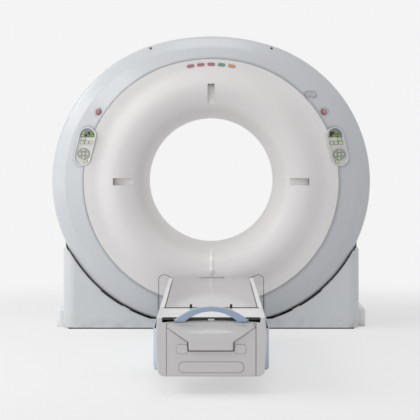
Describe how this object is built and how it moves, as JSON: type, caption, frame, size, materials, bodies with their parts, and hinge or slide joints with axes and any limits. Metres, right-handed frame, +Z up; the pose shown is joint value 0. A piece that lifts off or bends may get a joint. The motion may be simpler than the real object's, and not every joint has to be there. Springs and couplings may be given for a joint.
{
  "type": "ct scanner",
  "caption": "Tilting ring-shaped CT scanner gantry on a floor cradle, with a patient couch on a scissor lift and a sliding tabletop.",
  "frame": {"origin": "on the floor, under the point where the bore axis crosses the tilt axis", "axes": "+Z up, +Y along the bore from the couch into the gantry, +X to the right seen from the couch"},
  "size_m": [2.2478, 3.6833, 2.0648],
  "materials": {
    "cover_cool_grey": "satin cool grey lacquer on moulded covers",
    "cover_warm_white": "satin warm white lacquer on moulded covers",
    "cradle_grey": "satin light grey lacquer",
    "couch_white": "satin warm white moulding",
    "table_gloss": "smooth white gelcoat over a carbon-fibre shell",
    "blue_trim": "satin blue-grey moulding",
    "skirt_blue": "satin pale blue moulding",
    "seal_black": "black rubber strip",
    "clear_window": "dark polished window",
    "lamp_lens": "coloured lenses: three red, one green, one amber",
    "scan_film": "thin translucent film",
    "frame_steel": "grey painted weldment",
    "bright_steel": "ground bearing steel",
    "rotor_aluminium": "machined casting",
    "slip_brass": "brass tracks in an insulating ring",
    "module_grey": "powder-coated housing",
    "panel_white": "light warm grey membrane plate in a white bezel",
    "key_grey": "light grey keycaps with green marks",
    "pad_blue": "blue-grey pad with green arrow marks",
    "display_black": "dark head with black display windows and green digits",
    "estop_red": "glossy red emergency button",
    "call_grey": "satin grey call panel",
    "post_dark": "dark posts with red-brown tops"
  },
  "bodies": {
    "base": {"base_frame": "frame_steel", "trunnion_bearings": "bright_steel", "floor_plate": "frame_steel", "cradle_cover_left": "cradle_grey", "cradle_cover_right": "cradle_grey", "cradle_seals": "seal_black", "stand_covers": "cradle_grey", "foot_covers": "cradle_grey", "couch_base_frame": "frame_steel", "couch_skirt": "skirt_blue"},
    "gantry": {"front_ring_cover": "cover_cool_grey", "service_panel_ring": "cover_cool_grey", "front_funnel": "cover_warm_white", "service_panel_funnel": "cover_warm_white", "laser_windows": "clear_window", "status_lamps": "lamp_lens", "funnel_bead": "cover_warm_white", "scan_window": "scan_film", "rear_funnel": "cover_warm_white", "rear_cover": "cover_cool_grey", "body_shell": "cover_cool_grey", "tilt_frame": "frame_steel", "bearing_race": "bright_steel", "brush_block": "module_grey", "control_panel_left": "panel_white", "control_panel_right": "panel_white", "panel_displays": "display_black", "call_panel": "call_grey"},
    "rotor": {"rotor_drum": "rotor_aluminium", "slip_ring": "slip_brass", "xray_tube": "module_grey", "detector": "module_grey", "voltage_generator": "module_grey", "heat_exchanger": "module_grey", "rotor_control_unit": "module_grey"},
    "outer_arms": {"lift_arms_outer": "frame_steel"},
    "inner_arms": {"lift_arms_inner": "frame_steel"},
    "couch_top": {"couch_upper_frame": "frame_steel", "couch_rails": "couch_white", "couch_end_shell": "couch_white", "couch_end_panel": "couch_white", "couch_nose_cover": "couch_white", "couch_end_caps": "couch_white", "couch_handle": "blue_trim", "strap_posts": "post_dark"},
    "table": {"tabletop": "table_gloss"},
    "key_left_top": {"key_left_top": "key_grey"},
    "key_left_first": {"key_left_first": "key_grey"},
    "key_left_middle": {"key_left_middle": "key_grey"},
    "key_left_last": {"key_left_last": "key_grey"},
    "key_left_low": {"key_left_low": "key_grey"},
    "key_right_top": {"key_right_top": "key_grey"},
    "key_right_first": {"key_right_first": "key_grey"},
    "key_right_middle": {"key_right_middle": "key_grey"},
    "key_right_last": {"key_right_last": "key_grey"},
    "key_right_low": {"key_right_low": "key_grey"},
    "pad_left": {"pad_left": "pad_blue"},
    "pad_right": {"pad_right": "pad_blue"},
    "estop_button_left": {"estop_button_left": "estop_red"},
    "estop_button_right": {"estop_button_right": "estop_red"}
  },
  "joints": [
    {"name": "gantry_tilt", "type": "hinge", "parent": "base", "child": "gantry", "pos_m": [0, 0, 1.04], "axis": [1, 0, 0], "range_deg": [-25, 25]},
    {"name": "rotor_spin", "type": "hinge", "parent": "gantry", "child": "rotor", "pos_m": [0, 0, 1.04], "axis": [0, 1, 0], "continuous": true},
    {"name": "couch_lift", "type": "hinge", "parent": "base", "child": "outer_arms", "pos_m": [0, -1.08, 0.078], "axis": [-1, 0, 0], "range_deg": [0, 30.5]},
    {"name": "scissor_cross", "type": "hinge", "parent": "outer_arms", "child": "inner_arms", "pos_m": [0, -1.6259, 0.145], "axis": [-1, 0, 0], "range_deg": [-61, 0]},
    {"name": "scissor_top", "type": "hinge", "parent": "inner_arms", "child": "couch_top", "pos_m": [0, -1.08, 0.212], "axis": [-1, 0, 0], "range_deg": [0, 30.5]},
    {"name": "table_slide", "type": "slide", "parent": "couch_top", "child": "table", "axis": [0, 1, 0], "range_m": [0, 0.08]},
    {"name": "press_key_left_top", "type": "slide", "parent": "gantry", "child": "key_left_top", "axis": [0.2079, 0.9781, 0], "range_m": [0, 0.0015], "stiffness_N_per_m": 1500},
    {"name": "press_key_left_first", "type": "slide", "parent": "gantry", "child": "key_left_first", "axis": [0.2079, 0.9781, 0], "range_m": [0, 0.0015], "stiffness_N_per_m": 1500},
    {"name": "press_key_left_middle", "type": "slide", "parent": "gantry", "child": "key_left_middle", "axis": [0.2079, 0.9781, 0], "range_m": [0, 0.0015], "stiffness_N_per_m": 1500},
    {"name": "press_key_left_last", "type": "slide", "parent": "gantry", "child": "key_left_last", "axis": [0.2079, 0.9781, 0], "range_m": [0, 0.0015], "stiffness_N_per_m": 1500},
    {"name": "press_key_left_low", "type": "slide", "parent": "gantry", "child": "key_left_low", "axis": [0.2079, 0.9781, 0], "range_m": [0, 0.0015], "stiffness_N_per_m": 1500},
    {"name": "press_key_right_top", "type": "slide", "parent": "gantry", "child": "key_right_top", "axis": [-0.2079, 0.9781, 0], "range_m": [0, 0.0015], "stiffness_N_per_m": 1500},
    {"name": "press_key_right_first", "type": "slide", "parent": "gantry", "child": "key_right_first", "axis": [-0.2079, 0.9781, 0], "range_m": [0, 0.0015], "stiffness_N_per_m": 1500},
    {"name": "press_key_right_middle", "type": "slide", "parent": "gantry", "child": "key_right_middle", "axis": [-0.2079, 0.9781, 0], "range_m": [0, 0.0015], "stiffness_N_per_m": 1500},
    {"name": "press_key_right_last", "type": "slide", "parent": "gantry", "child": "key_right_last", "axis": [-0.2079, 0.9781, 0], "range_m": [0, 0.0015], "stiffness_N_per_m": 1500},
    {"name": "press_key_right_low", "type": "slide", "parent": "gantry", "child": "key_right_low", "axis": [-0.2079, 0.9781, 0], "range_m": [0, 0.0015], "stiffness_N_per_m": 1500},
    {"name": "press_pad_left", "type": "slide", "parent": "gantry", "child": "pad_left", "axis": [0.2079, 0.9781, 0], "range_m": [0, 0.0015], "stiffness_N_per_m": 1500},
    {"name": "press_pad_right", "type": "slide", "parent": "gantry", "child": "pad_right", "axis": [-0.2079, 0.9781, 0], "range_m": [0, 0.0015], "stiffness_N_per_m": 1500},
    {"name": "press_estop_left", "type": "slide", "parent": "gantry", "child": "estop_button_left", "axis": [0, 1, 0], "range_m": [0, 0.005], "stiffness_N_per_m": 3000},
    {"name": "press_estop_right", "type": "slide", "parent": "gantry", "child": "estop_button_right", "axis": [0, 1, 0], "range_m": [0, 0.005], "stiffness_N_per_m": 3000}
  ],
  "couplings": [
    {"joint": "scissor_cross", "follows": "couch_lift", "ratio": -2},
    {"joint": "scissor_top", "follows": "couch_lift", "ratio": 1}
  ]
}
